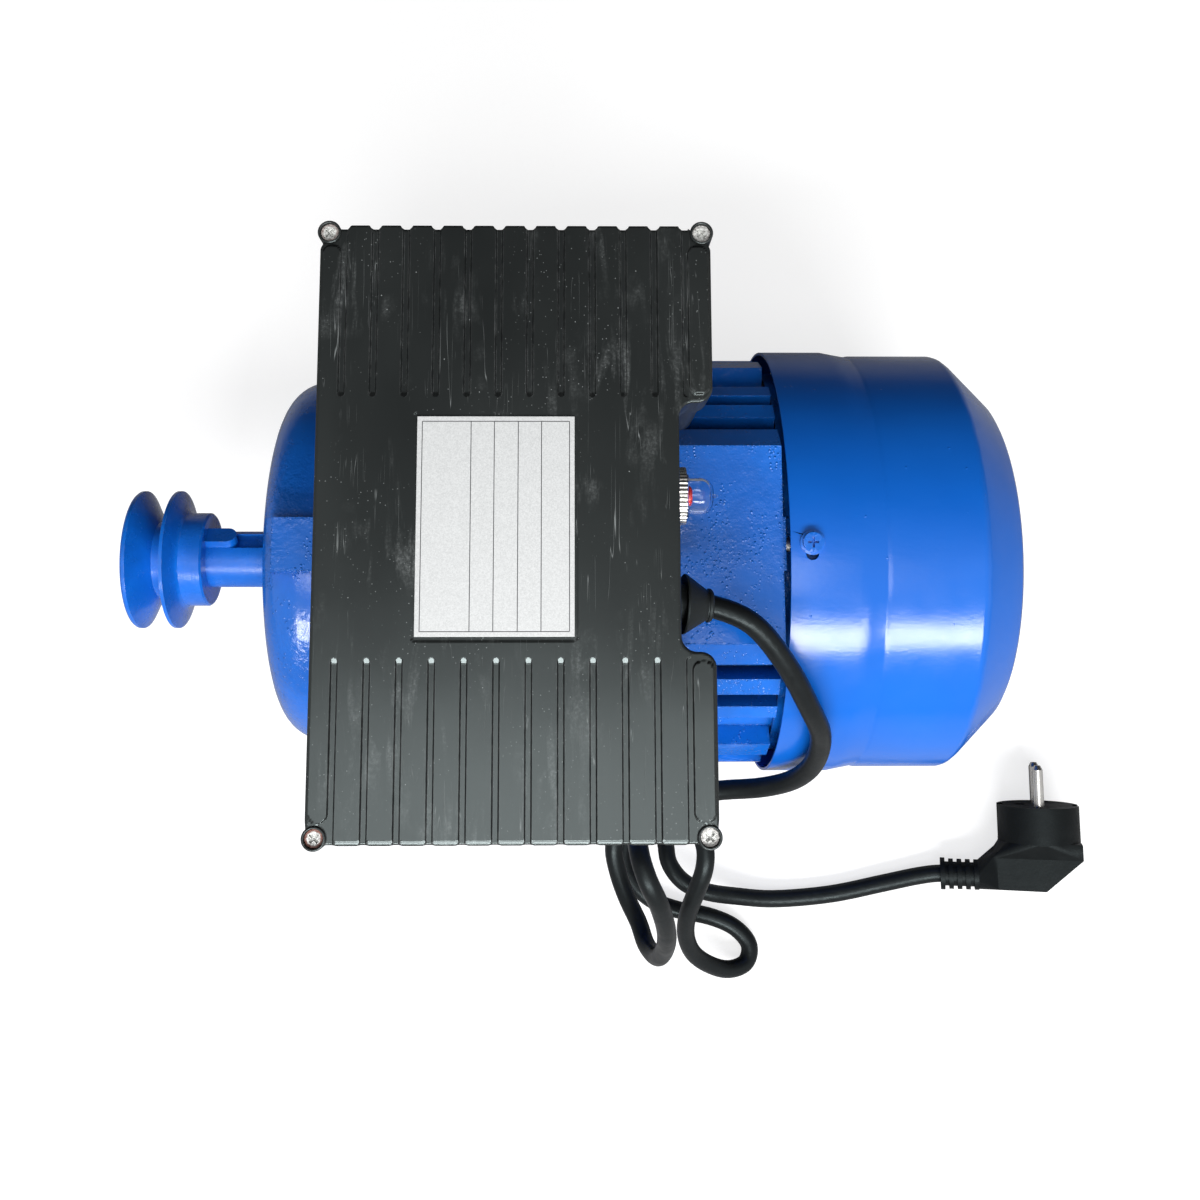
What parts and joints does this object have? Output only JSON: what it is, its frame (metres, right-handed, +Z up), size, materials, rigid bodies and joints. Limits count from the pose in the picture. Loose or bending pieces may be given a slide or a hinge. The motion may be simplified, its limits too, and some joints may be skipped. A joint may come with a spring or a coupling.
{
  "type": "electric motor",
  "caption": "Foot-mounted capacitor-run electric motor with a ribbed terminal box, a fan cover, a V-belt pulley on its shaft, a reset button, and a cord with a plug.",
  "frame": {"origin": "on the mounting face under the feet, in the middle of the four foot holes", "axes": "+Z up, shaft along X with the drive end at -X, shaft axis at z = 0.09 m"},
  "size_m": [0.4292, 0.2929, 0.2481],
  "materials": {
    "cast_blue": "gloss enamel over a sand-cast surface",
    "sheet_blue": "satin powder coat",
    "pulley_blue": "gloss enamel on turned metal",
    "box_black": "moulded, glossy, lightly scuffed",
    "cord_black": "matt rubber sheath",
    "plug_black": "moulded, matt",
    "seal_black": "matt",
    "zinc_steel": "zinc plated",
    "bearing_steel": "ground and polished",
    "shaft_steel": "turned, with paint on the drive end",
    "lamination": "stacked steel sheet",
    "winding_copper": "varnished copper wire",
    "cast_aluminium": "as cast",
    "brass": "plain",
    "phenolic": "brown laminate",
    "capacitor_white": "moulded",
    "capacitor_black": "moulded",
    "fan_plastic": "moulded",
    "nylon": "moulded nylon",
    "clear_vinyl": "clear and soft",
    "red_plastic": "moulded",
    "nickel": "nickel plated",
    "label_foil": "satin foil with printed rules"
  },
  "bodies": {
    "stator": {"housing": "cast_blue", "drive_endshield": "cast_blue", "rear_endshield": "cast_blue", "endshield_bolts": "zinc_steel", "stator_core": "lamination", "stator_winding": "winding_copper", "drive_bearing_outer": "bearing_steel", "rear_bearing_outer": "bearing_steel", "wave_washer": "zinc_steel", "start_switch": "phenolic", "fan_cowl": "sheet_blue", "cowl_screws": "sheet_blue", "box_base": "box_black", "box_gasket": "seal_black", "box_lid": "box_black", "box_screws": "zinc_steel", "box_mount_screws": "zinc_steel", "label_plate": "label_foil", "terminal_board": "phenolic", "terminal_studs": "brass", "run_capacitor": "capacitor_white", "start_capacitor": "capacitor_black", "capacitor_straps": "zinc_steel", "overload_switch": "plug_black", "boot_nut": "nickel", "button_boot": "clear_vinyl", "cord_gland": "seal_black", "power_cord": "cord_black", "plug_body": "plug_black", "plug_pins": "nickel", "earth_clips": "brass"},
    "rotor": {"shaft": "shaft_steel", "rotor_core": "lamination", "rotor_cage": "cast_aluminium", "drive_bearing_inner": "bearing_steel", "rear_bearing_inner": "bearing_steel", "fan": "fan_plastic", "fan_circlip": "zinc_steel", "shaft_seal": "seal_black", "shaft_key": "pulley_blue", "pulley": "pulley_blue", "pulley_set_screw": "zinc_steel", "governor_plate": "zinc_steel"},
    "governor_collar": {"governor_collar": "nylon"},
    "flyweight_upper": {"flyweight_upper": "zinc_steel"},
    "flyweight_lower": {"flyweight_lower": "zinc_steel"},
    "switch_lever": {"switch_lever": "brass"},
    "drive_ball_set": {"drive_ball_set": "bearing_steel"},
    "rear_ball_set": {"rear_ball_set": "bearing_steel"},
    "reset_button": {"reset_button": "red_plastic"}
  },
  "joints": [
    {"name": "shaft_spin", "type": "hinge", "parent": "stator", "child": "rotor", "pos_m": [0, 0, 0.09], "axis": [1, 0, 0], "continuous": true},
    {"name": "drive_balls_roll", "type": "hinge", "parent": "stator", "child": "drive_ball_set", "pos_m": [-0.0995, 0, 0.09], "axis": [1, 0, 0], "continuous": true},
    {"name": "rear_balls_roll", "type": "hinge", "parent": "stator", "child": "rear_ball_set", "pos_m": [0.0935, 0, 0.09], "axis": [1, 0, 0], "continuous": true},
    {"name": "collar_slide", "type": "slide", "parent": "rotor", "child": "governor_collar", "axis": [-1, 0, 0], "range_m": [0, 0.004]},
    {"name": "flyweight_upper_swing", "type": "hinge", "parent": "rotor", "child": "flyweight_upper", "pos_m": [0.075, 0, 0.1205], "axis": [0, 1, 0], "range_deg": [0, 19.2]},
    {"name": "flyweight_lower_swing", "type": "hinge", "parent": "rotor", "child": "flyweight_lower", "pos_m": [0.075, 0, 0.0595], "axis": [0, -1, 0], "range_deg": [0, 19.2]},
    {"name": "switch_lever_tilt", "type": "hinge", "parent": "stator", "child": "switch_lever", "pos_m": [0.0795, 0, 0.047], "axis": [0, -1, 0], "range_deg": [0, 4.4]},
    {"name": "reset_press", "type": "slide", "parent": "stator", "child": "reset_button", "axis": [-1, 0, 0], "range_m": [0, 0.003], "stiffness_N_per_m": 600}
  ],
  "couplings": [
    {"joint": "drive_balls_roll", "follows": "shaft_spin", "ratio": 0.3987},
    {"joint": "rear_balls_roll", "follows": "shaft_spin", "ratio": 0.3987},
    {"joint": "flyweight_upper_swing", "follows": "collar_slide", "rad_per_m": 82.9},
    {"joint": "flyweight_lower_swing", "follows": "collar_slide", "rad_per_m": 82.9},
    {"joint": "switch_lever_tilt", "follows": "collar_slide", "rad_per_m": 18.3}
  ]
}
